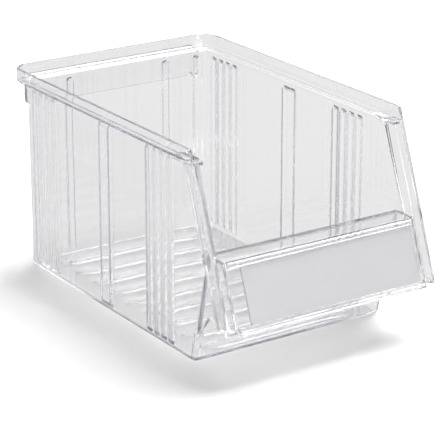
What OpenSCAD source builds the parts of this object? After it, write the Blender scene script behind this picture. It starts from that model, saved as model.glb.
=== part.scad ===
// Clear stack-and-hang storage bin with an open front and a sliding label card.
// Millimetres, +Z up, front towards -Y, origin at the middle of the base.

/* [Bin] */
// Outer width over the rim
rim_w = 150; // [130:1:180]
// Height from the foot to the top of the rim
bin_h = 132.5; // [118:0.5:150]
// Length of the rim, from its back face to its front corners
rim_len = 206; // [180:1:230]
// Thickness of the moulded walls
wall_t = 2.2; // [1.8:0.1:2.5]
// Radius inside the back corners of the hollow
corner_r = 3; // [2:0.5:6]

/* [Rim] */
// Height of the rim's upstand
rim_h = 9.5; // [8:0.5:12]
// Step from the wall out to the rim
rim_step = 6.8; // [6.5:0.1:8]
// Outside radius of the rim's back corners
rim_r = 12; // [9:0.5:15]
// Distance from each side of the rim to the end of the hanging lip
hang_end = 12.2; // [11.8:0.2:30]
// Drop of the hanging lip below the rim
hang_drop = 18.5; // [12:0.5:24]
// How far the hanging lip stands behind the rim
hang_out = 4; // [3:0.5:6]
// Radius of the lower corners of the hanging lip
hang_r = 3; // [2.4:0.2:5]

/* [Front] */
// Lean of the sloped front edges from upright, in degrees
edge_lean = 20.6; // [16:0.2:24]
// Depth of the lips along the sloped edges
lip_d = 8.6; // [7:0.2:10]
// Height of the ledge over the front wall
ledge_z = 71.5; // [64:0.5:80]
// Height of the lower end of the label plate and lips
nose_z = 32.5; // [26:0.5:36]
// Forward lean of the front wall, in degrees
front_lean = 12.4; // [8:0.2:14]
// How far the front of the base lies behind the rim's front corners
base_set = 5.7; // [0:0.1:12]
// Radius of the front corners of the base
foot_r = 4.5; // [3:0.5:9]
// Drop of the gusset under each ear beside the label plate
ear_drop = 12; // [6:0.5:16]

/* [Wall flutes] */
// Width of one flute
flute_w = 7.9; // [6:0.1:9]
// How far a flute stands out from the wall
flute_h = 1.5; // [0.8:0.1:1.8]
// Flutes in each group
flute_n = 4; // [3:1:5]
// Middle of the back group, from the back of the rim
back_group = 31; // [28:0.5:46]
// Middle of the front group, from the back of the rim
front_group = 164.5; // [150:0.5:170]
// Middle of the wide rib, from the back of the rim
mid_rib = 104; // [90:0.5:118]
// Width of the wide rib
mid_rib_w = 14; // [8:0.2:16]
// Thickness of the wide rib's sides
rib_side = 1.6; // [1.2:0.1:2.2]
// Plain wall left above the flutes
flute_head = 2; // [1:0.5:6]
// Plain wall left below the flutes
flute_foot = 1; // [0.5:0.5:6]
// Width of the beads on the back wall
bead_w = 5; // [4:0.2:7]
// Distance from the middle to the inner beads
bead_in = 36; // [24:0.5:46]
// Distance from the side walls to the outer beads
bead_edge = 8.3; // [8:0.1:10]

/* [Floor] */
// Spacing of the floor's rounded ridges
ridge_pitch = 20.4; // [16:0.2:26]
// Height of a ridge
ridge_h = 1.2; // [0.8:0.1:2.4]
// Height of a ridge at its long edges
ridge_side = 0.3; // [0.2:0.1:0.5]
// Groove left between ridges
ridge_gap = 1.4; // [1:0.1:5]
// Space left between the ridge ends and the side walls
ridge_inset = 10.5; // [6:0.5:20]

/* [Label] */
// Distance from the open end of the slot to the end of the sheets
card_set = 8.2; // [4:0.2:40]
// Thickness of the card
card_t = 0.4; // [0.3:0.05:0.6]
// Thickness of the clear cover
cover_t = 0.6; // [0.4:0.05:0.8]
// Play between the sheets and the faces either side of them
sheet_gap = 0.1; // [0.05:0.05:0.2]
// Play at the long edges of the sheets
edge_gap = 0.2; // [0.1:0.05:0.4]
// Thickness of the rails in front of the sheets
rail_t = 0.9; // [0.7:0.1:1.4]
// Height of the lower rail
low_rail = 4.4; // [3.8:0.1:6]
// Height of the upper rail
top_rail = 3; // [2.4:0.1:4]
// How far the rails cover the long edges of the sheets
rail_hold = 1.4; // [1:0.1:1.8]
// How far the label plate stands in front of the sloped edges
plate_d = 0.6; // [0.4:0.1:1.2]
// Width of the stop at the closed end of the slot
stop_w = 2.6; // [2:0.1:4]

/* [Hidden] */
$fn = 64;
rim_x = rim_w / 2;
wall_x = rim_x - rim_step;
in_x = wall_x - wall_t;
wall_r = corner_r + wall_t;
step_z = bin_h - rim_h;
base_len = rim_len - base_set;
past_len = 2 * rim_len;
past_h = 2 * bin_h;
lip_y = lip_d / cos(edge_lean);
sheet_y = wall_t / cos(edge_lean);
slot_d = card_t + cover_t + 3 * sheet_gap;
rail_d = plate_d + slot_d + rail_t;
front_y = -rim_len - (bin_h - nose_z) * tan(edge_lean) - rail_d / cos(edge_lean);
shift_y = -(front_y + hang_out) / 2;
hang_x = rim_x - hang_end;
stop_x = in_x - stop_w;
card_w = in_x + stop_x - edge_gap - card_set;
slot_low = low_rail - rail_hold;
slot_top = (ledge_z - top_rail - nose_z - rail_d * sin(edge_lean)) / cos(edge_lean) + rail_hold;
card_h = slot_top - slot_low - 2 * edge_gap;
ridge_w = ridge_pitch - ridge_gap;
floor_len = base_len - rim_step - 2 * wall_t;
ridge_n = floor((floor_len - 2) / ridge_pitch);
flute_r = flute_w * flute_w / (8 * flute_h) + flute_h / 2;
bead_r = bead_w * bead_w / (8 * flute_h) + flute_h / 2;
groove_r = bead_r - wall_t / 2;
flute_top = step_z - flute_head;

// Y of the plane d in front of the sloped edges, at height z
function edge_y(z, d = 0) = -rim_len - (bin_h - z) * tan(edge_lean) - d / cos(edge_lean);
// Y of the front wall's outer face at height z
function wall_y(z) = -base_len - z * tan(front_lean);

// Extrude a Y, Z outline across X
module across(x0, x1) {
  translate([x0, 0, 0])
    rotate([90, 0, 90])
      linear_extrude(x1 - x0)
        children();
}

module both_sides() {
  children();
  mirror([1, 0, 0])
    children();
}

// Put flat things on the sloped front: y up the slope, z out of it
module on_slope() {
  translate([0, edge_y(nose_z), nose_z])
    rotate([90 - edge_lean, 0, 0])
      children();
}

// Plan outline, rounded at the back, running on past the front
module plan(half, back, r) {
  union() {
    translate([-half, -past_len])
      square([2 * half, past_len + back - r]);
    translate([-half + r, -past_len])
      square([2 * half - 2 * r, past_len + back]);
    translate([half - r, back - r])
      circle(r);
    translate([-half + r, back - r])
      circle(r);
  }
}

// Plan outline rounded at the front, for the leaning front wall
module front_plan(half, r) {
  union() {
    translate([-half, r])
      square([2 * half, past_len]);
    translate([-half + r, 0])
      square([2 * half - 2 * r, past_len]);
    translate([half - r, r])
      circle(r);
    translate([-half + r, r])
      circle(r);
  }
}

// Solid of the tub up to the ledge; in is the inset from the outer faces
module tub_solid(in, low, high) {
  intersection() {
    translate([0, 0, low])
      linear_extrude(high - low)
        plan(wall_x - in, -rim_step - in, wall_r - in);
    translate([0, -base_len + in / cos(front_lean), 0])
      rotate([front_lean, 0, 0])
        translate([0, 0, -past_h / 4])
          linear_extrude(past_h)
            front_plan(wall_x - in, foot_r - in);
  }
}

module tub() {
  difference() {
    tub_solid(0, 0, ledge_z);
    tub_solid(wall_t, wall_t, ledge_z + 1);
  }
}

// Side outline of the upper walls and of the ears beside the label plate
module side_outline() {
  ear_z = nose_z - ear_drop;
  polygon([
    [0, 0],
    [wall_y(0) + foot_r, 0],
    [wall_y(ear_z) + foot_r, ear_z],
    [wall_y(ear_z) + foot_r - ear_drop, nose_z],
    [edge_y(nose_z, plate_d), nose_z],
    [edge_y(ledge_z, plate_d), ledge_z],
    [edge_y(ledge_z) + lip_y - sheet_y, ledge_z],
    [edge_y(step_z + wall_t) + lip_y - sheet_y, step_z + wall_t],
    [0, step_z + wall_t]
  ]);
}

module upper_walls() {
  intersection() {
    linear_extrude(step_z + wall_t)
      difference() {
        plan(wall_x, -rim_step, wall_r);
        plan(in_x, -rim_step - wall_t, corner_r);
      }
    across(-rim_x, rim_x)
      side_outline();
  }
}

// Rim: a step out from the wall and an upstand round it
module rim() {
  intersection() {
    union() {
      translate([0, 0, step_z])
        linear_extrude(wall_t)
          difference() {
            plan(rim_x, 0, rim_r);
            plan(in_x, -rim_step - wall_t, corner_r);
          }
      translate([0, 0, step_z])
        linear_extrude(rim_h)
          difference() {
            plan(rim_x, 0, rim_r);
            plan(rim_x - wall_t, -wall_t, rim_r - wall_t);
          }
    }
    across(-rim_x, rim_x)
      polygon([
        [0, step_z],
        [edge_y(step_z), step_z],
        [edge_y(bin_h), bin_h],
        [0, bin_h]
      ]);
  }
}

// Lip down one sloped edge: upstand, step and the cap at its lower end
module lip() {
  across(rim_x - wall_t, rim_x)
    polygon([
      [edge_y(nose_z), nose_z],
      [edge_y(nose_z) + lip_y, nose_z],
      [edge_y(step_z + 1) + lip_y, step_z + 1],
      [edge_y(step_z + 1), step_z + 1]
    ]);
  across(in_x, rim_x)
    polygon([
      [edge_y(nose_z) + lip_y - sheet_y, nose_z],
      [edge_y(nose_z) + lip_y, nose_z],
      [edge_y(step_z + 1) + lip_y, step_z + 1],
      [edge_y(step_z + 1) + lip_y - sheet_y, step_z + 1]
    ]);
  across(in_x, rim_x)
    polygon([
      [edge_y(nose_z), nose_z],
      [edge_y(nose_z) + lip_y, nose_z],
      [edge_y(nose_z + wall_t) + lip_y, nose_z + wall_t],
      [edge_y(nose_z + wall_t), nose_z + wall_t]
    ]);
}

// Ledge over the front wall and the label plate that hangs from it
module label_plate() {
  across(-in_x - 0.5, in_x + 0.5)
    polygon([
      [wall_y(ledge_z) + wall_t, ledge_z - wall_t],
      [wall_y(ledge_z) + wall_t, ledge_z],
      [edge_y(ledge_z, plate_d), ledge_z],
      [edge_y(ledge_z - wall_t, plate_d), ledge_z - wall_t]
    ]);
  across(-in_x - 0.5, in_x + 0.5)
    polygon([
      [edge_y(nose_z, plate_d), nose_z],
      [edge_y(nose_z, plate_d) + sheet_y, nose_z],
      [edge_y(ledge_z, plate_d) + sheet_y, ledge_z],
      [edge_y(ledge_z, plate_d), ledge_z]
    ]);
}

// Rails that hold the label sheets, with the stop at one end
module label_rails() {
  low_top = nose_z + low_rail * cos(edge_lean);
  difference() {
    union() {
      across(-in_x, in_x)
        polygon([
          [edge_y(nose_z, plate_d) + 0.5, nose_z],
          [edge_y(low_top, plate_d) + 0.5, low_top],
          [edge_y(low_top, rail_d), low_top],
          [edge_y(nose_z, rail_d), nose_z]
        ]);
      across(-in_x, in_x)
        polygon([
          [edge_y(ledge_z - top_rail, plate_d) + 0.5, ledge_z - top_rail],
          [edge_y(ledge_z, plate_d) + 0.5, ledge_z],
          [edge_y(ledge_z, rail_d), ledge_z],
          [edge_y(ledge_z - top_rail, rail_d), ledge_z - top_rail]
        ]);
      across(stop_x, in_x)
        polygon([
          [edge_y(nose_z, plate_d) + 0.5, nose_z],
          [edge_y(ledge_z, plate_d) + 0.5, ledge_z],
          [edge_y(ledge_z, rail_d), ledge_z],
          [edge_y(nose_z, rail_d), nose_z]
        ]);
    }
    on_slope()
      translate([-rim_w, slot_low, plate_d])
        cube([rim_w + stop_x, slot_top - slot_low, slot_d]);
  }
}

// Outline of the hanging lip, seen from behind
module lip_outline(half, low) {
  union() {
    translate([-half + hang_r, low])
      square([2 * half - 2 * hang_r, step_z + wall_t - low]);
    translate([-half, low + hang_r])
      square([2 * half, step_z + wall_t - low - hang_r]);
    translate([half - hang_r, low + hang_r])
      circle(hang_r);
    translate([-half + hang_r, low + hang_r])
      circle(hang_r);
  }
}

// Skirt behind the back wall with closed ends, for hanging the bin on a rail
module hanging_lip() {
  back = -rim_step - wall_t / 2;
  difference() {
    translate([0, hang_out, 0])
      rotate([90, 0, 0])
        linear_extrude(hang_out - back)
          lip_outline(hang_x, step_z - hang_drop);
    translate([-hang_x + wall_t, back - 1, step_z - hang_drop - 1])
      cube([2 * (hang_x - wall_t), hang_out - wall_t - back + 1, hang_drop + 1]);
  }
}

// Round flutes along one side wall; grow says outer ridges, otherwise the grooves inside
module flute_row(middle, grow) {
  for (i = [0 : flute_n - 1])
    translate([
      wall_x + flute_h - flute_r,
      -middle + (i - (flute_n - 1) / 2) * flute_w,
      flute_foot
    ])
      cylinder(r = grow ? flute_r : flute_r - wall_t, h = flute_top - flute_foot);
}

module side_ridges() {
  intersection() {
    union() {
      flute_row(back_group, true);
      flute_row(front_group, true);
    }
    translate([wall_x - 0.5, -rim_len, 0])
      cube([10, rim_len, bin_h]);
  }
  translate([wall_x - 0.5, -mid_rib - mid_rib_w / 2, flute_foot])
    cube([flute_h + 0.5, mid_rib_w, flute_top - flute_foot]);
}

// Grooves inside the flutes and the wide rib, down to the floor
module side_grooves() {
  intersection() {
    union() {
      flute_row(back_group, false);
      flute_row(front_group, false);
      translate([in_x - 1, -mid_rib - mid_rib_w / 2 + rib_side, 0])
        cube([flute_h + 1, mid_rib_w - 2 * rib_side, flute_top]);
    }
    translate([0, -rim_len, wall_t])
      cube([rim_x, rim_len, bin_h]);
  }
}

// One round bead on the back wall
module back_bead(x) {
  intersection() {
    translate([x, -rim_step + flute_h - bead_r, flute_foot])
      cylinder(r = bead_r, h = flute_top - flute_foot);
    translate([0, -rim_step - 0.5, 0])
      cube([rim_x, 10, bin_h]);
  }
}

// Groove inside one of the beads, down to the floor
module bead_groove(x) {
  translate([x, -rim_step - wall_t + flute_h - groove_r, wall_t])
    cylinder(r = groove_r, h = flute_top - wall_t);
}

// Rounded ridges across the floor
module floor_ridges() {
  rise = ridge_h - ridge_side;
  swell_r = ridge_w * ridge_w / (8 * rise) + rise / 2;
  half = in_x - ridge_inset;
  first = -rim_step - wall_t - (floor_len - (ridge_n - 1) * ridge_pitch) / 2;
  for (i = [0 : ridge_n - 1])
    translate([0, first - i * ridge_pitch, 0])
      intersection() {
        translate([-rim_x, 0, wall_t + ridge_h - swell_r])
          rotate([0, 90, 0])
            cylinder(r = swell_r, h = rim_w, $fn = 128);
        translate([0, 0, wall_t - 0.5])
          linear_extrude(ridge_h + 1)
            union() {
              square([2 * half - ridge_w, ridge_w], center = true);
              translate([half - ridge_w / 2, 0])
                circle(d = ridge_w);
              translate([-half + ridge_w / 2, 0])
                circle(d = ridge_w);
            }
      }
}

module bin_body() {
  color([0.9, 0.92, 0.95, 0.35])
    translate([0, shift_y, 0])
      difference() {
        union() {
          tub();
          upper_walls();
          rim();
          both_sides()
            lip();
          label_plate();
          label_rails();
          hanging_lip();
          floor_ridges();
          both_sides()
            side_ridges();
          both_sides()
            back_bead(bead_in);
          both_sides()
            back_bead(wall_x - bead_edge);
        }
        both_sides()
          side_grooves();
        both_sides()
          bead_groove(bead_in);
        both_sides()
          bead_groove(wall_x - bead_edge);
      }
}

module label_card() {
  color([0.83, 0.83, 0.82])
    translate([0, shift_y, 0])
      on_slope()
        translate([stop_x - edge_gap - card_w, slot_low + edge_gap, plate_d + sheet_gap])
          cube([card_w, card_h, card_t]);
}

module label_cover() {
  color([0.93, 0.95, 0.97, 0.3])
    translate([0, shift_y, 0])
      on_slope()
        translate([
          stop_x - edge_gap - card_w,
          slot_low + edge_gap,
          plate_d + card_t + 2 * sheet_gap
        ])
          cube([card_w, card_h, cover_t]);
}

bin_body();
label_card();
label_cover();
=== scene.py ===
"""Looks of a clear stack-and-hang storage bin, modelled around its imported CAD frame."""
import math
import bmesh
import bpy
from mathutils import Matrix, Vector


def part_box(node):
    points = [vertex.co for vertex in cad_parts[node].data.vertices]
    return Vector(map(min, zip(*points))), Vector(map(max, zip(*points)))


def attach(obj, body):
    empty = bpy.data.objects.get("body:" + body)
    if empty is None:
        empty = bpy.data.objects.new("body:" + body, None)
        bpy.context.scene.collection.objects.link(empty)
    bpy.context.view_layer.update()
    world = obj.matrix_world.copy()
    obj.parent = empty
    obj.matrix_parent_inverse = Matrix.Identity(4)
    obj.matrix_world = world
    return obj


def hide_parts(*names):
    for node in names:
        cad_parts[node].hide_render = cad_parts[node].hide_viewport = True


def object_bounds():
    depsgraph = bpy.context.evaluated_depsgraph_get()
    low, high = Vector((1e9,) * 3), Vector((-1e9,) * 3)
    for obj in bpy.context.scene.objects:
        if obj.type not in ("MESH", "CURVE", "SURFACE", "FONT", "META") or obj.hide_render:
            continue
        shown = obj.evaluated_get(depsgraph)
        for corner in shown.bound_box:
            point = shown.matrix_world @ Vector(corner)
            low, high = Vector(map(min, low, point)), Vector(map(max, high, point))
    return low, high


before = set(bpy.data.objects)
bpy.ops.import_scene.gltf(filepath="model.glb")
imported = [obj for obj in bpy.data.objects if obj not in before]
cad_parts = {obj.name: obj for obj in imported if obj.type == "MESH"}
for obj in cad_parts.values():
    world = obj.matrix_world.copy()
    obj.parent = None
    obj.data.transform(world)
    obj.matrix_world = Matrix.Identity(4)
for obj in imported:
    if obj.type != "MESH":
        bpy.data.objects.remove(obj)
cad_low, cad_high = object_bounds()

# Walls, rim, sloped front and foot, in metres
MM = 0.001
WALL = 2.2 * MM
HALF = WALL / 2
RIM_STEP = 6.8 * MM
RIM_UP = 9.5 * MM
RIM_LENGTH = 206 * MM
CORNER_R = 4.1 * MM
CORNER_STEPS = 8
EDGE_LEAN = math.radians(20.6)
LIP_DEPTH = 8.6 * MM
LEDGE_TOP = 71.5 * MM
NOSE_LOW = 32.5 * MM
FRONT_LEAN = math.radians(12.4)
BASE_LENGTH = 200.3 * MM
FOOT_R = 3.4 * MM
EAR_DROP = 12 * MM
PLATE_OUT = 0.6 * MM

# Flutes and wide ribs on the side walls
FLUTE_W = 7.9 * MM
FLUTE_UP = 1.5 * MM
FLUTES = 4
FLUTE_LAND = 0.7 * MM
FLUTE_CUTS = 8
FLUTE_GROUPS = (31 * MM, 164.5 * MM)
FLUTE_TOP = 121 * MM
FLUTE_FOOT = 3.3 * MM
FLUTE_DOME = 3 * MM
DOME_CUTS = 5
RIB_AT = 104 * MM
RIB_W = 11.8 * MM
RIB_RAMP = 3 * MM
RIB_CUTS = 5

# Hanging lip and beads at the back
HANG_OUT = 4 * MM
HANG_END = 12.2 * MM
HANG_DROP = 18.5 * MM
HANG_R = 3 * MM
BEAD_W = 5 * MM
BEAD_X = (36 * MM, 60.4 * MM)
BEAD_CUTS = 8

# Ridges on the floor
RIDGES = 9
RIDGE_PITCH = 20.4 * MM
RIDGE_W = 20 * MM
RIDGE_UP = 1.2 * MM
RIDGE_TAPER = 1.6
RIDGE_HALF = 55.5 * MM
RIDGE_RINGS = 8
RIDGE_STEPS = 34

# Label rails, and the sheets between them
RAIL_OUT = 2.8 * MM
SLOT_OUT = 1.9 * MM
LOW_RAIL = 4.4 * MM
TOP_RAIL = 3 * MM
RAIL_HOLD = 1.4 * MM
STOP_W = 2.6 * MM
EDGE_GAP = 0.2 * MM
CARD_OUT = (0.7 * MM, 1.1 * MM)
COVER_OUT = (1.2 * MM, 1.8 * MM)
SHEET_ROUND = 0.08 * MM

# Rounds, bends and fillets
EDGE_ROUND = 0.35 * MM
RAIL_ROUND = 0.2 * MM
ROUND_STEPS = 2
BEND_R = 2 * MM
BEND_STEPS = 4
FILLET_R = 2 * MM
FILLET_STEPS = 5

# How deep joined solids reach into each other, and how close counts as the same place
SINK = 0.6 * MM
STOP_INSET = RAIL_ROUND / 4
TINY = 0.01 * MM
SLIVER = TINY / 4
SAME_POINT = 5 * TINY
SAME_FACE = HALF / 4
SAME_CREASE = 0.2 * MM

# Sharp edges, smooth shading and the pull of large faces on it
SHARP_ANGLE = math.radians(32)
SMOOTH_ANGLE = math.radians(40)
FLAT_FACE_WEIGHT = 100

# Finishes
BIN_TINT = (0.985, 0.985, 0.99)
COVER_TINT = (0.97, 0.97, 0.975)
PLASTIC_IOR = 1.57
PLASTIC_ROUGH = (0.005, 0.02)
PLASTIC_MOTTLE = 40
PLASTIC_DEPTH = (0.3, 0.3, 0.38)
PLASTIC_DENSITY = 8
CARD_DARK = (0.77, 0.77, 0.778)
CARD_PALE = (0.825, 0.825, 0.83)
CARD_ROUGH = 0.9
CARD_GRAIN = 900
CARD_FIBRE = 0.15
CARD_FIBRE_UP = 0.1 * MM
NOISE_DETAIL = 3

# Places of the sockets on a Mix node that mixes colours
MIX_SHARE = 0
MIX_FIRST = 6
MIX_SECOND = 7
MIXED = 2

# Floor, as the camera sees it and as it shows through the plastic
FLOOR_SIZE = 16
FLOOR_DROP = 0.2 * MM
FLOOR_GREY = (0.53, 0.53, 0.527)
FLOOR_GLOW = 0.26
SHOWN_GREY = (0.14, 0.14, 0.14)
SHOWN_GLOW = 0.53

# Brightness of the studio round the bin, and the heights between which it grows
ROOM_LEVEL = 0.3
HORIZON_LEVEL = 0.35
OVERHEAD_LEVEL = 1.03
WHITE_LEVEL = 1
HORIZON_UP = 0.15
OVERHEAD_UP = 0.5

# Each light's name, place, width and power in watts
LIGHTS = (
    ("key", (0.95, 0.1, 2.25), 1.7, 127),
    ("fill", (-0.8, -3.4, 0.9), 1.8, 70),
    ("back", (1.39, 2.06, 1.75), 1.1, 5),
)
BOUNCES = 96

# Camera at the photograph's viewing angle, with its lens and film in millimetres
CAMERA_TURN = math.radians(-33.88)
CAMERA_RISE = math.radians(19.90)
CAMERA_AIM = Vector((0.0094, 0.0094, 0.0459))
CAMERA_AWAY = 1.3004
CAMERA_LENS = 170.8
CAMERA_FILM = 36

# Middle surfaces of the walls
rim_back = cad_high.y - HANG_OUT
top_z = cad_high.z
side_x = cad_high.x - RIM_STEP - HALF
rim_x = cad_high.x - HALF
back_y = rim_back - RIM_STEP - HALF
floor_z = HALF
ledge_z = LEDGE_TOP - HALF
nose_z = NOSE_LOW + HALF
step_z = top_z - RIM_UP + HALF
ear_z = NOSE_LOW - EAR_DROP

# Round corners at the back
round_x = side_x - CORNER_R
round_y = back_y - CORNER_R
rim_r = CORNER_R + RIM_STEP


def edge_y(z, out=0):
    """Y of the plane that lies out in front of the sloped front edges."""
    return rim_back - RIM_LENGTH - (top_z - z) * math.tan(EDGE_LEAN) - out / math.cos(EDGE_LEAN)


def lip_y(z):
    """Y where the side walls end and the lips start."""
    return edge_y(z, HALF - LIP_DEPTH)


def plate_y(z):
    """Y of the label plate."""
    return edge_y(z, PLATE_OUT - HALF)


def front_y(z):
    """Y of the leaning front wall."""
    return rim_back - BASE_LENGTH - z * math.tan(FRONT_LEAN) + HALF / math.cos(FRONT_LEAN)


def up_slope(along, out):
    """Y and Z of a point on the sloped front, measured up it and out of it."""
    y = edge_y(NOSE_LOW) + along * math.sin(EDGE_LEAN) - out * math.cos(EDGE_LEAN)
    z = NOSE_LOW + along * math.cos(EDGE_LEAN) + out * math.sin(EDGE_LEAN)
    return y, z


def near(a, b):
    return abs(a - b) < TINY


def from_round(p):
    """How far a point at the back lies from the middle of a round corner, or from the line between both."""
    return math.hypot(max(0, abs(p.x) - round_x), p.y - round_y)


# Modelling by hand
def start_plane(name):
    """A new square sheet, open in edit mode with everything selected."""
    bpy.ops.object.select_all(action="DESELECT")
    bpy.ops.mesh.primitive_plane_add(size=1)
    piece = bpy.context.object
    piece.name = name
    piece.data.name = name
    bpy.ops.object.mode_set(mode="EDIT")
    bpy.ops.mesh.select_mode(type="VERT")
    return piece


def pick(kind, test, middle=None):
    """Select each part of the edited mesh whose corners, and middle, pass the tests."""
    bpy.ops.mesh.select_mode(type=kind)
    bpy.ops.mesh.select_all(action="DESELECT")
    data = bpy.context.edit_object.data
    mesh = bmesh.from_edit_mesh(data)
    parts = {"VERT": mesh.verts, "EDGE": mesh.edges, "FACE": mesh.faces}[kind]
    for part in parts:
        corners = [part] if kind == "VERT" else part.verts
        centre = sum((corner.co for corner in corners), Vector()) / len(corners)
        if all(test(corner.co) for corner in corners) and (middle is None or middle(centre)):
            part.select_set(True)
    mesh.select_flush_mode()
    bmesh.update_edit_mesh(data)


def pick_points(*points):
    pick("VERT", lambda p: any((p - Vector(q)).length < SAME_POINT for q in points))


def stretch(x, y, z):
    bpy.ops.transform.resize(value=(x, y, z), center_override=(0, 0, 0))


def shift(x, y, z):
    bpy.ops.transform.translate(value=(x, y, z))


def pull_edges(x, y, z):
    bpy.ops.mesh.extrude_edges_move(TRANSFORM_OT_translate={"value": (x, y, z)})


def pull_point(start, end):
    pick_points(start)
    bpy.ops.mesh.extrude_vertices_move(TRANSFORM_OT_translate={"value": Vector(end) - Vector(start)})


def pull_faces(x, y, z):
    bpy.ops.mesh.extrude_region_move(TRANSFORM_OT_translate={"value": (x, y, z)})


def fill(*points):
    pick_points(*points)
    bpy.ops.mesh.edge_face_add()


def weld():
    bpy.ops.mesh.select_all(action="SELECT")
    bpy.ops.mesh.remove_doubles(threshold=TINY)


def apply_modifier(piece, kind, **settings):
    modifier = piece.modifiers.new(kind.lower(), kind)
    for key, value in settings.items():
        setattr(modifier, key, value)
    bpy.context.view_layer.objects.active = piece
    bpy.ops.object.modifier_apply(modifier=modifier.name)


def thicken(piece):
    apply_modifier(
        piece,
        "SOLIDIFY",
        solidify_mode="NON_MANIFOLD",
        nonmanifold_thickness_mode="CONSTRAINTS",
        thickness=WALL,
        offset=0,
    )


def round_edges(piece, width):
    apply_modifier(
        piece,
        "BEVEL",
        width=width,
        segments=ROUND_STEPS,
        limit_method="ANGLE",
        angle_limit=SHARP_ANGLE,
        use_clamp_overlap=False,
    )


# The shell: a sheet along the middle of the walls, thickened at the end
def tub_sheet():
    """Floor with round corners, and the walls up to the ledge with the leaning front."""
    piece = start_plane("bin_shell")
    foot_front = front_y(floor_z)
    stretch(2 * side_x, back_y - foot_front, 1)
    shift(0, (back_y + foot_front) / 2, floor_z)
    pick("VERT", lambda p: near(p.y, back_y))
    bpy.ops.mesh.bevel(offset=CORNER_R, segments=CORNER_STEPS, affect="VERTICES")
    pick("VERT", lambda p: near(p.y, foot_front))
    bpy.ops.mesh.bevel(offset=FOOT_R, segments=CORNER_STEPS, affect="VERTICES")

    pick("EDGE", lambda p: True)
    pull_edges(0, 0, ear_z - floor_z)
    pick("VERT", lambda p: near(p.z, ear_z) and p.y < foot_front + FOOT_R + TINY)
    shift(0, front_y(ear_z) - foot_front, 0)

    # Above the round foot the corners are square
    corner_y = front_y(ear_z) + FOOT_R
    corner_x = side_x - FOOT_R
    pick("EDGE", lambda p: near(p.z, ear_z) and (abs(p.x) < corner_x + TINY or p.y > corner_y - TINY))
    pull_edges(0, 0, ledge_z - ear_z)
    pick("VERT", lambda p: near(p.z, ledge_z) and p.y < corner_y + TINY)
    shift(0, front_y(ledge_z) - front_y(ear_z), 0)

    def side_end(p):
        return p.z > ear_z - TINY and near(abs(p.x), side_x) and near(p.y, front_y(p.z) + FOOT_R)

    def front_end(p):
        return p.z > ear_z - TINY and near(abs(p.x), corner_x) and near(p.y, front_y(p.z))

    pick("EDGE", side_end)
    pull_edges(0, -FOOT_R, 0)
    for side in (-1, 1):
        pick("EDGE", lambda p: front_end(p) and p.x * side > 0)
        pull_edges(side * FOOT_R, 0, 0)
    weld()
    for side in (-1, 1):
        pick("VERT", lambda p: near(p.z, ear_z) and p.x * side > corner_x - TINY and p.y < corner_y + TINY)
        bpy.ops.mesh.edge_face_add()
    for wall_end in (side_end, front_end):
        pick("EDGE", wall_end)
        bpy.ops.mesh.dissolve_edges()
    return piece


def upper_walls():
    """Back and side walls up to the step of the rim, cut off at the sloped front."""
    wall_end = front_y(ledge_z)
    pick(
        "EDGE",
        lambda p: near(p.z, ledge_z) and (near(abs(p.x), side_x) or p.y > round_y - TINY),
        middle=lambda p: p.y > wall_end + TINY,
    )
    pull_edges(0, 0, step_z - ledge_z)
    pick("VERT", lambda p: near(p.z, step_z) and near(p.y, wall_end))
    shift(0, lip_y(step_z) - wall_end, 0)
    for side in (-1, 1):
        corner = (side * side_x, wall_end, ledge_z)
        low_end = (side * side_x, lip_y(ledge_z), ledge_z)
        pull_point(corner, low_end)
        fill(corner, low_end, (side * side_x, lip_y(step_z), step_z))


def ears():
    """Side walls carried forward under the ledge, to the label plate."""
    for side in (-1, 1):
        x = side * side_x
        foot = (x, front_y(ear_z), ear_z)
        heel = (x, front_y(ear_z) - EAR_DROP, nose_z)
        lip_low = (x, lip_y(nose_z), nose_z)
        lip_high = (x, lip_y(ledge_z), ledge_z)
        plate_low = (x, plate_y(nose_z), nose_z)
        plate_high = (x, plate_y(ledge_z), ledge_z)
        pull_point(foot, heel)
        pull_point(heel, lip_low)
        fill(foot, heel, lip_low, lip_high, (x, front_y(ledge_z), ledge_z))
        pull_point(lip_low, plate_low)
        pull_point(lip_high, plate_high)
        fill(lip_low, plate_low, plate_high, lip_high)


def on_lip(p):
    return near(p.y, lip_y(p.z)) and p.z > nose_z - TINY


def rim_and_lips():
    """Step outwards along the walls' top and sloped front, and the upstand round it."""
    piece = bpy.context.edit_object
    pick("EDGE", lambda p: near(p.z, step_z) or on_lip(p))
    pull_edges(0, 0, 0)
    mesh = bmesh.from_edit_mesh(piece.data)
    for corner in [v for v in mesh.verts if v.select]:
        side = math.copysign(1, corner.co.x)
        if corner.co.y > round_y - TINY:
            corner.co.x = side * (round_x + (abs(corner.co.x) - round_x) * rim_r / CORNER_R)
            corner.co.y = round_y + (corner.co.y - round_y) * rim_r / CORNER_R
        else:
            corner.co.x += side * RIM_STEP
    bmesh.update_edit_mesh(piece.data)

    pick("EDGE", lambda p: on_lip(p) and (abs(p.x) > rim_x - TINY or near(p.z, step_z)))
    pull_edges(0, edge_y(0) - lip_y(0), 0)

    def on_rim(p):
        if p.y < round_y:
            return near(p.z, step_z) and near(abs(p.x), rim_x)
        return near(p.z, step_z) and near(from_round(p), rim_r)

    pick("EDGE", on_rim)
    pull_edges(0, 0, top_z - step_z)
    pick("VERT", lambda p: near(p.z, top_z) and near(p.y, edge_y(step_z)))
    shift(0, edge_y(top_z) - edge_y(step_z), 0)
    for side in (-1, 1):
        fill(
            (side * side_x, lip_y(nose_z), nose_z),
            (side * rim_x, lip_y(nose_z), nose_z),
            (side * rim_x, edge_y(nose_z), nose_z),
            (side * side_x, plate_y(nose_z), nose_z),
        )


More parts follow.
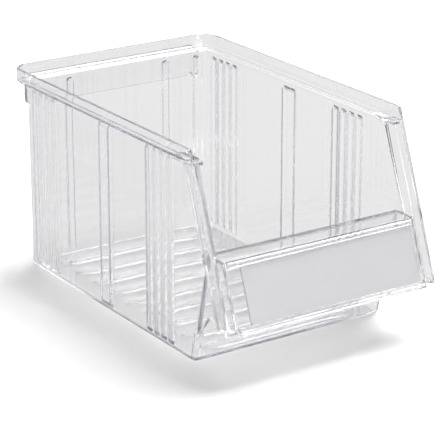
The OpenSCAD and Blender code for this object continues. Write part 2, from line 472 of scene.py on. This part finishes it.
def ledge_and_plate():
    """Label plate between the side walls, and the ledge from its top back to the front wall."""

    def on_ledge(p):
        return near(p.z, ledge_z) and p.y < front_y(ledge_z) + TINY and abs(p.x) < side_x + TINY

    plate_top = [(side * side_x, plate_y(ledge_z), ledge_z) for side in (-1, 1)]
    fill(*plate_top)
    pull_edges(0, plate_y(nose_z) - plate_y(ledge_z), nose_z - ledge_z)
    weld()
    pick("EDGE", on_ledge)
    bpy.ops.mesh.edge_face_add()


# Flutes, wide ribs and beads, pressed into the walls
def flute_start(group):
    return rim_back - group - FLUTES * FLUTE_W / 2


def arc_radius(half, up):
    return (half ** 2 + up ** 2) / (2 * up)


def arc_cuts(middle, half, count):
    """Places of the cuts for a round form, evenly round its arc."""
    radius = arc_radius(half, FLUTE_UP)
    turn = math.asin(half / radius)
    return [middle + radius * math.sin(turn * (2 * i / count - 1)) for i in range(count + 1)]


def arc_up(off, half):
    """How far a round form stands out of the wall, away from its middle."""
    if abs(off) >= half:
        return 0
    radius = arc_radius(half, FLUTE_UP)
    return math.sqrt(radius ** 2 - off ** 2) - radius + FLUTE_UP


def flute_middles():
    return [flute_start(group) + (i + 0.5) * FLUTE_W for group in FLUTE_GROUPS for i in range(FLUTES)]


def side_cuts():
    """Places of the cuts across a side wall, for its flutes and its wide rib."""
    cuts = []
    for middle in flute_middles():
        cuts += arc_cuts(middle, FLUTE_W / 2 - FLUTE_LAND, FLUTE_CUTS)
    for side in (-1, 1):
        ramp = RIB_W / 2 - RIB_RAMP / 2
        cuts += [rim_back - RIB_AT + side * (ramp + RIB_RAMP * i / RIB_CUTS) for i in range(RIB_CUTS + 1)]
    return cuts


def side_up(y):
    """How far the flutes and the wide rib stand out of a side wall."""
    into_rib = (RIB_W / 2 + RIB_RAMP / 2 - abs(y - rim_back + RIB_AT)) / RIB_RAMP
    rib = FLUTE_UP * (1 - math.cos(math.pi * min(1, max(0, into_rib)))) / 2
    return max([rib] + [arc_up(y - middle, FLUTE_W / 2 - FLUTE_LAND) for middle in flute_middles()])


def back_cuts():
    """Places of the cuts across the back wall, for its beads."""
    cuts = []
    for x in BEAD_X:
        cuts += arc_cuts(x, BEAD_W / 2, BEAD_CUTS) + arc_cuts(-x, BEAD_W / 2, BEAD_CUTS)
    return cuts


def back_up(x):
    """How far the beads stand out of the back wall."""
    return max(arc_up(abs(x) - middle, BEAD_W / 2) for middle in BEAD_X)


def dome(z):
    """How much of a flute is left at Z, near its domed ends."""
    into = min(1, max(0, min(FLUTE_TOP - z, z - FLUTE_FOOT) / FLUTE_DOME))
    return (1 - math.cos(math.pi * into)) / 2


def press(on_wall, along, cuts, up):
    """Press round forms with domed ends outwards in a wall that runs along X (0) or Y (1)."""
    piece = bpy.context.edit_object
    across = 1 - along
    plane = Vector((across, along, 0))

    def in_band(p):
        return on_wall(p) and FLUTE_FOOT - TINY < p.z < FLUTE_TOP + TINY

    def is_pressed(p):
        return up(p[along]) > 0

    for height in (FLUTE_FOOT, FLUTE_TOP):
        pick("FACE", on_wall)
        bpy.ops.mesh.bisect(plane_co=(0, 0, height), plane_no=(0, 0, 1))
    for place in cuts:
        pick("FACE", in_band)
        bpy.ops.mesh.bisect(plane_co=plane * place, plane_no=plane)
    for i in range(DOME_CUTS):
        into = FLUTE_DOME * (i + 1) / DOME_CUTS
        for height in (FLUTE_TOP - into, FLUTE_FOOT + into):
            pick("FACE", in_band, middle=is_pressed)
            bpy.ops.mesh.bisect(plane_co=(0, 0, height), plane_no=(0, 0, 1))

    pick("FACE", in_band, middle=is_pressed)
    bpy.ops.mesh.extrude_region()
    mesh = bmesh.from_edit_mesh(piece.data)
    for corner in [v for v in mesh.verts if v.select]:
        out = up(corner.co[along]) * dome(corner.co.z)
        corner.co[across] += math.copysign(out, corner.co[across])
    bmesh.update_edit_mesh(piece.data)
    weld()


# Round edges and bends
def is_tight(p):
    """Beside pressed forms and under rails, or where an ear or a lip starts: these edges stay crisp."""
    beside_rib = abs(p.y - rim_back + RIB_AT) < RIB_W / 2 + RIB_RAMP / 2 + WALL
    beside_bead = any(abs(abs(p.x) - x) < BEAD_W / 2 + WALL for x in BEAD_X)
    fluted = any(-WALL < p.y - flute_start(group) < FLUTES * FLUTE_W + WALL for group in FLUTE_GROUPS)
    in_band = FLUTE_FOOT - HALF - TINY < p.z < FLUTE_TOP + HALF + TINY
    at_wall = abs(abs(p.x) - side_x) < FLUTE_UP + WALL
    at_back = abs(p.y - back_y) < FLUTE_UP + WALL
    inner_foot = abs(p.z - WALL) < SAME_FACE and at_wall
    ear_foot = Vector((math.copysign(side_x, p.x), front_y(ear_z), ear_z))
    lip_head = Vector((math.copysign(side_x, p.x), lip_y(step_z), step_z))
    starts = (p - ear_foot).length < FOOT_R + WALL or (p - lip_head).length < 2 * WALL
    pressed = at_wall and (fluted or beside_rib) or at_back and beside_bead
    on_plate = abs(p.y - edge_y(p.z, PLATE_OUT)) < SAME_FACE and abs(p.x) < side_x + TINY
    under_rail = on_plate and min(abs(p.z - LEDGE_TOP), abs(p.z - NOSE_LOW)) < SAME_FACE
    return in_band and pressed or inner_foot or starts or under_rail


def in_front_corner(p):
    """On either face of the front wall, where it meets a side wall above the round foot."""
    off_wall = abs(abs(p.y - front_y(p.z)) - HALF / math.cos(FRONT_LEAN))
    return near(abs(p.x), side_x - HALF) and off_wall < 2 * TINY and p.z > ear_z - WALL


def round_shell(piece):
    """Fillet the front corners, then round the shell's sharp edges apart from the tight places."""
    bpy.ops.object.mode_set(mode="EDIT")
    pick("EDGE", in_front_corner)
    bpy.ops.mesh.bevel(offset=FILLET_R, segments=FILLET_STEPS, affect="EDGES", clamp_overlap=False)
    bpy.ops.mesh.select_mode(type="EDGE")
    bpy.ops.mesh.select_all(action="DESELECT")
    bpy.ops.mesh.edges_select_sharp(sharpness=SHARP_ANGLE)
    mesh = bmesh.from_edit_mesh(piece.data)
    for edge in mesh.edges:
        if edge.select and any(is_tight(corner.co) for corner in edge.verts):
            edge.select_set(False)
    bmesh.update_edit_mesh(piece.data)
    bpy.ops.mesh.bevel(offset=EDGE_ROUND, segments=ROUND_STEPS, affect="EDGES", clamp_overlap=False)
    bpy.ops.object.mode_set(mode="OBJECT")


def on_crease(p):
    """Along the wall's top or the foot of the rim's upstand, and not across the step."""
    if p.y < round_y:
        return near(abs(p.x), side_x) or near(abs(p.x), rim_x)
    return min(abs(from_round(p) - CORNER_R), abs(from_round(p) - rim_r)) < SAME_CREASE


def bend_edges():
    """Turn the creases at the floor and along the rim's step into round bends."""
    pick("EDGE", lambda p: near(p.z, floor_z))
    bpy.ops.mesh.bevel(offset=BEND_R, segments=BEND_STEPS, affect="EDGES")
    bend_end = lip_y(step_z) + 2 * RIM_STEP
    pick("FACE", lambda p: p.z > ledge_z - TINY)
    bpy.ops.mesh.bisect(plane_co=(0, bend_end, 0), plane_no=(0, 1, 0))
    pick("EDGE", lambda p: near(p.z, step_z) and p.y > bend_end - TINY, middle=on_crease)
    bpy.ops.mesh.bevel(offset=BEND_R, segments=BEND_STEPS, affect="EDGES")


def bin_shell():
    """The whole shell, from one sheet."""
    piece = tub_sheet()
    upper_walls()
    ears()
    rim_and_lips()
    ledge_and_plate()
    bend_edges()
    press(lambda p: near(abs(p.x), side_x), 1, side_cuts(), side_up)
    press(lambda p: near(p.y, back_y), 0, back_cuts(), back_up)
    bpy.ops.object.mode_set(mode="OBJECT")
    thicken(piece)
    round_shell(piece)
    return piece


# Rails, hanging lip and floor ridges, each a solid of its own
def bar(name, outline, left, right, rounding):
    """A bar along X with a Y, Z outline."""
    piece = start_plane(name)
    bpy.ops.mesh.merge(type="CENTER")
    shift(left, *outline[0])
    for before, after in zip(outline, outline[1:]):
        pull_point((left, *before), (left, *after))
    bpy.ops.mesh.select_all(action="SELECT")
    bpy.ops.mesh.edge_face_add()
    pull_faces(right - left, 0, 0)
    bpy.ops.mesh.select_all(action="SELECT")
    bpy.ops.mesh.normals_make_consistent(inside=False)
    bpy.ops.object.mode_set(mode="OBJECT")
    round_edges(piece, rounding)
    return piece


def slot_along():
    """Lower and upper edge of the label slot, measured up the slope."""
    low = LOW_RAIL - RAIL_HOLD
    rail_foot = LEDGE_TOP - TOP_RAIL - NOSE_LOW - RAIL_OUT * math.sin(EDGE_LEAN)
    return low, rail_foot / math.cos(EDGE_LEAN) + RAIL_HOLD


def label_rails():
    """Rails under and over the label slot, and the stop at its right end."""
    half = side_x - HALF
    inside = PLATE_OUT - SINK
    slot_low, slot_high = slot_along()
    low_top = NOSE_LOW + LOW_RAIL * math.cos(EDGE_LEAN)
    high_low = LEDGE_TOP - TOP_RAIL
    low_outline = [
        (edge_y(NOSE_LOW, inside), NOSE_LOW),
        (edge_y(NOSE_LOW, RAIL_OUT), NOSE_LOW),
        (edge_y(low_top, RAIL_OUT), low_top),
        (edge_y(low_top, SLOT_OUT), low_top),
        up_slope(slot_low, SLOT_OUT),
        up_slope(slot_low, inside),
    ]
    high_outline = [
        (edge_y(LEDGE_TOP, inside), LEDGE_TOP),
        (edge_y(LEDGE_TOP, RAIL_OUT), LEDGE_TOP),
        (edge_y(high_low, RAIL_OUT), high_low),
        (edge_y(high_low, SLOT_OUT), high_low),
        up_slope(slot_high, SLOT_OUT),
        up_slope(slot_high, inside),
    ]
    stop_low = NOSE_LOW + SINK
    stop_high = LEDGE_TOP - SINK
    stop_out = RAIL_OUT - STOP_INSET
    stop_outline = [
        (edge_y(stop_low, inside), stop_low),
        (edge_y(stop_low, stop_out), stop_low),
        (edge_y(stop_high, stop_out), stop_high),
        (edge_y(stop_high, inside), stop_high),
    ]
    return [
        bar("low_rail", low_outline, -half, half, RAIL_ROUND),
        bar("high_rail", high_outline, -half, half, RAIL_ROUND),
        bar("slot_stop", stop_outline, half - STOP_W, half - STOP_INSET, RAIL_ROUND),
    ]


def block(name, low, high):
    """A box between two corners."""
    bpy.ops.object.select_all(action="DESELECT")
    bpy.ops.mesh.primitive_cube_add(size=1)
    piece = bpy.context.object
    piece.name = name
    piece.scale = Vector(high) - Vector(low)
    piece.location = (Vector(high) + Vector(low)) / 2
    bpy.ops.object.transform_apply(location=True, rotation=True, scale=True)
    return piece


def hanging_lip():
    """Skirt behind the back wall, with round lower corners, closed ends and a hollow open below."""
    half = cad_high.x - HANG_END
    low = top_z - RIM_UP - HANG_DROP
    top = step_z + HALF - SINK / 2
    piece = block("hanging_lip", (-half, back_y + HALF - SINK, low), (half, cad_high.y, top))
    bpy.ops.object.mode_set(mode="EDIT")
    pick("EDGE", lambda p: near(p.z, low), middle=lambda p: not near(p.x, 0))
    bpy.ops.mesh.bevel(offset=HANG_R, segments=CORNER_STEPS, affect="EDGES")
    bpy.ops.object.mode_set(mode="OBJECT")
    inner_low = (-half + WALL, back_y - WALL, low - WALL)
    inner_high = (half - WALL, cad_high.y - WALL, top - WALL)
    hollow = block("hollow", inner_low, inner_high)
    apply_modifier(piece, "BOOLEAN", operation="DIFFERENCE", solver="EXACT", object=hollow)
    bpy.data.objects.remove(hollow)
    return piece


def floor_ridge(y):
    """One soft ridge on the floor: a round swell, stretched along X."""
    radius = RIDGE_W / 2
    bpy.ops.object.select_all(action="DESELECT")
    bpy.ops.mesh.primitive_circle_add(vertices=RIDGE_STEPS, radius=radius, fill_type="NGON")
    piece = bpy.context.object
    piece.name = "floor_ridge"
    bpy.ops.object.mode_set(mode="EDIT")
    bpy.ops.mesh.select_mode(type="VERT")
    bpy.ops.transform.rotate(value=math.pi / RIDGE_STEPS, orient_axis="Z", center_override=(0, 0, 0))
    shift(0, 0, WALL - SINK)
    pull_faces(0, 0, SINK)
    height = 0
    for ring in range(RIDGE_RINGS - 1, 0, -1):
        crown = RIDGE_UP * (1 - (ring / RIDGE_RINGS) ** 2)
        pull_faces(0, 0, crown - height)
        shrink = ring / (ring + 1)
        stretch(shrink, shrink, 1)
        height = crown
    bpy.ops.mesh.select_all(action="SELECT")
    stretch(RIDGE_TAPER, 1, 1)
    for side in (-1, 1):
        pick("VERT", lambda p: p.x * side > 0)
        shift(side * (RIDGE_HALF - radius * RIDGE_TAPER), 0, 0)
    bpy.ops.mesh.select_all(action="SELECT")
    shift(0, y, 0)
    bpy.ops.mesh.normals_make_consistent(inside=False)
    bpy.ops.object.mode_set(mode="OBJECT")
    return piece


def floor_ridges():
    """A row of ridges, centred on the floor."""
    middle = (back_y + front_y(floor_z)) / 2
    return [floor_ridge(middle + (i - (RIDGES - 1) / 2) * RIDGE_PITCH) for i in range(RIDGES)]


def fuse(piece, others):
    """Join solids into one closed skin."""
    for other in others:
        apply_modifier(piece, "BOOLEAN", operation="UNION", solver="EXACT", object=other)
        bpy.data.objects.remove(other)


def finish_skin(piece):
    """Clean up after the joining, and smooth the shading with flat faces kept flat."""
    bpy.ops.object.select_all(action="DESELECT")
    piece.select_set(True)
    bpy.context.view_layer.objects.active = piece
    bpy.ops.object.mode_set(mode="EDIT")
    bpy.ops.mesh.select_all(action="SELECT")
    bpy.ops.mesh.dissolve_degenerate(threshold=SLIVER)
    bpy.ops.object.mode_set(mode="OBJECT")
    bpy.ops.object.shade_smooth_by_angle(angle=SMOOTH_ANGLE)
    apply_modifier(piece, "WEIGHTED_NORMAL", keep_sharp=True, weight=FLAT_FACE_WEIGHT)


def label_sheet(name, outs):
    """A flat sheet in the label slot, as wide as its CAD node."""
    low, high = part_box(name)
    slot_low, slot_high = slot_along()
    foot = slot_low + EDGE_GAP
    head = slot_high - EDGE_GAP
    inner, outer = outs
    outline = [up_slope(foot, inner), up_slope(foot, outer), up_slope(head, outer), up_slope(head, inner)]
    return bar(name + "_sheet", outline, low.x, high.x, SHEET_ROUND)


# Finishes
def new_material(name):
    made = bpy.data.materials.new(name)
    made.use_nodes = True
    nodes = made.node_tree.nodes
    nodes.clear()
    return made, nodes, made.node_tree.links


def object_noise(nodes, links, scale):
    """Noise that stays in place on the piece."""
    place = nodes.new("ShaderNodeTexCoord")
    noise = nodes.new("ShaderNodeTexNoise")
    noise.inputs["Scale"].default_value = scale
    noise.inputs["Detail"].default_value = NOISE_DETAIL
    links.new(place.outputs["Object"], noise.inputs["Vector"])
    return noise.outputs["Fac"]


def ranged(nodes, links, value, low, high):
    """A noise value spread between two levels."""
    spread = nodes.new("ShaderNodeMapRange")
    spread.inputs["To Min"].default_value = low
    spread.inputs["To Max"].default_value = high
    links.new(value, spread.inputs["Value"])
    return spread.outputs["Result"]


def clear_plastic(name, tint):
    """Polished clear plastic, with a slightly uneven gloss, greyer where it is thick."""
    made, nodes, links = new_material(name)
    out = nodes.new("ShaderNodeOutputMaterial")
    shader = nodes.new("ShaderNodeBsdfPrincipled")
    shader.inputs["Base Color"].default_value = (*tint, 1)
    shader.inputs["IOR"].default_value = PLASTIC_IOR
    shader.inputs["Transmission Weight"].default_value = 1
    rough = ranged(nodes, links, object_noise(nodes, links, PLASTIC_MOTTLE), *PLASTIC_ROUGH)
    links.new(rough, shader.inputs["Roughness"])
    links.new(shader.outputs[0], out.inputs["Surface"])
    depth = nodes.new("ShaderNodeVolumeAbsorption")
    depth.inputs["Color"].default_value = (*PLASTIC_DEPTH, 1)
    depth.inputs["Density"].default_value = PLASTIC_DENSITY
    links.new(depth.outputs[0], out.inputs["Volume"])
    return made


def card_paper():
    """Bare grey card with a fine paper grain."""
    made, nodes, links = new_material("card_paper")
    out = nodes.new("ShaderNodeOutputMaterial")
    shader = nodes.new("ShaderNodeBsdfPrincipled")
    shader.inputs["Roughness"].default_value = CARD_ROUGH
    grain = object_noise(nodes, links, CARD_GRAIN)
    tone = nodes.new("ShaderNodeMix")
    tone.data_type = "RGBA"
    tone.inputs[MIX_FIRST].default_value = (*CARD_DARK, 1)
    tone.inputs[MIX_SECOND].default_value = (*CARD_PALE, 1)
    links.new(grain, tone.inputs[MIX_SHARE])
    links.new(tone.outputs[MIXED], shader.inputs["Base Color"])
    fibre = nodes.new("ShaderNodeBump")
    fibre.inputs["Strength"].default_value = CARD_FIBRE
    fibre.inputs["Distance"].default_value = CARD_FIBRE_UP
    links.new(grain, fibre.inputs["Height"])
    links.new(fibre.outputs[0], shader.inputs["Normal"])
    links.new(shader.outputs[0], out.inputs["Surface"])
    return made


# Floor, studio, lights and camera
def glowing(nodes, links, colour, glow):
    """A diffuse surface that also glows; the glow is a level or a node's output."""
    diffuse = nodes.new("ShaderNodeBsdfDiffuse")
    diffuse.inputs["Color"].default_value = (*colour, 1)
    light = nodes.new("ShaderNodeEmission")
    if isinstance(glow, float):
        light.inputs["Strength"].default_value = glow
    else:
        links.new(glow, light.inputs["Strength"])
    both = nodes.new("ShaderNodeAddShader")
    links.new(diffuse.outputs[0], both.inputs[0])
    links.new(light.outputs[0], both.inputs[1])
    return both.outputs[0]


def seen_through(nodes, links):
    """The ray's kind, and a switch that is on for rays that come through or off the clear plastic."""
    path = nodes.new("ShaderNodeLightPath")
    either = nodes.new("ShaderNodeMath")
    either.operation = "MAXIMUM"
    links.new(path.outputs["Is Transmission Ray"], either.inputs[0])
    links.new(path.outputs["Is Glossy Ray"], either.inputs[1])
    return path, either.outputs[0]


def floor_white():
    """Pale floor, white outside the shadow, with a lighter shadow where the plastic shows it."""
    made, nodes, links = new_material("floor_white")
    out = nodes.new("ShaderNodeOutputMaterial")
    path, through = seen_through(nodes, links)
    direct = nodes.new("ShaderNodeMath")
    direct.operation = "MULTIPLY"
    direct.inputs[1].default_value = FLOOR_GLOW
    links.new(path.outputs["Is Camera Ray"], direct.inputs[0])
    mix = nodes.new("ShaderNodeMixShader")
    links.new(through, mix.inputs["Fac"])
    links.new(glowing(nodes, links, FLOOR_GREY, direct.outputs[0]), mix.inputs[1])
    links.new(glowing(nodes, links, SHOWN_GREY, SHOWN_GLOW), mix.inputs[2])
    links.new(mix.outputs[0], out.inputs["Surface"])
    return made


def add_floor():
    bpy.ops.object.select_all(action="DESELECT")
    bpy.ops.mesh.primitive_plane_add(size=FLOOR_SIZE, location=(0, 0, -FLOOR_DROP))
    floor = bpy.context.object
    floor.name = "floor"
    floor.data.materials.append(floor_white())


def soft_light(name, place, size, power):
    """A square light that faces the middle of the foot."""
    bpy.ops.object.select_all(action="DESELECT")
    bpy.ops.object.light_add(type="AREA", location=place)
    light = bpy.context.object
    light.name = name
    light.data.shape = "SQUARE"
    light.data.size = size
    light.data.energy = power
    light.rotation_euler = (-light.location).to_track_quat("-Z", "Y").to_euler()


def height_level(nodes, links):
    """Dim near the horizon and bright overhead, as in a studio with its light above."""
    place = nodes.new("ShaderNodeTexCoord")
    parts = nodes.new("ShaderNodeSeparateXYZ")
    links.new(place.outputs["Generated"], parts.inputs["Vector"])
    spread = nodes.new("ShaderNodeMapRange")
    spread.inputs["From Min"].default_value = HORIZON_UP
    spread.inputs["From Max"].default_value = OVERHEAD_UP
    spread.inputs["To Min"].default_value = HORIZON_LEVEL
    spread.inputs["To Max"].default_value = OVERHEAD_LEVEL
    links.new(parts.outputs["Z"], spread.inputs["Value"])
    return spread.outputs["Result"]


def plain_level(nodes, level):
    made = nodes.new("ShaderNodeBackground")
    made.inputs["Color"].default_value = (level, level, level, 1)
    return made.outputs[0]


def add_studio():
    """Room light on the bin, a graded studio in the plastic, and white behind it all."""
    world = bpy.data.worlds.new("studio")
    bpy.context.scene.world = world
    world.use_nodes = True
    nodes = world.node_tree.nodes
    links = world.node_tree.links
    nodes.clear()
    out = nodes.new("ShaderNodeOutputWorld")
    shown = nodes.new("ShaderNodeBackground")
    links.new(height_level(nodes, links), shown.inputs["Color"])
    path, through = seen_through(nodes, links)
    mix = nodes.new("ShaderNodeMixShader")
    last = nodes.new("ShaderNodeMixShader")
    links.new(through, mix.inputs["Fac"])
    links.new(plain_level(nodes, ROOM_LEVEL), mix.inputs[1])
    links.new(shown.outputs[0], mix.inputs[2])
    links.new(path.outputs["Is Camera Ray"], last.inputs["Fac"])
    links.new(mix.outputs[0], last.inputs[1])
    links.new(plain_level(nodes, WHITE_LEVEL), last.inputs[2])
    links.new(last.outputs[0], out.inputs["Surface"])


def add_camera():
    level = math.cos(CAMERA_RISE)
    away = Vector((math.sin(CAMERA_TURN) * level, -math.cos(CAMERA_TURN) * level, math.sin(CAMERA_RISE)))
    bpy.ops.object.camera_add(location=CAMERA_AIM + away * CAMERA_AWAY)
    camera = bpy.context.object
    camera.rotation_euler = (-away).to_track_quat("-Z", "Y").to_euler()
    camera.data.lens = CAMERA_LENS
    camera.data.sensor_width = CAMERA_FILM
    bpy.context.scene.camera = camera


def dress(piece, node, body, material):
    """The finished piece takes its CAD node's place."""
    piece.data.materials.clear()
    piece.data.materials.append(material)
    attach(piece, body)
    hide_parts(node)


# The three pieces, then the stage
clear_bin = bin_shell()
clear_bin.name = "clear_bin"
fuse(clear_bin, label_rails() + [hanging_lip()] + floor_ridges())
finish_skin(clear_bin)
dress(clear_bin, "bin_body", "bin", clear_plastic("clear_moulding", BIN_TINT))
card = label_sheet("label_card", CARD_OUT)
dress(card, "label_card", "card", card_paper())
cover = label_sheet("label_cover", COVER_OUT)
dress(cover, "label_cover", "cover", clear_plastic("clear_sheet", COVER_TINT))
add_floor()
add_studio()
for light in LIGHTS:
    soft_light(*light)
add_camera()

scene = bpy.context.scene
scene.view_settings.view_transform = "Standard"
scene.cycles.max_bounces = BOUNCES
scene.cycles.transmission_bounces = BOUNCES
scene.cycles.glossy_bounces = BOUNCES
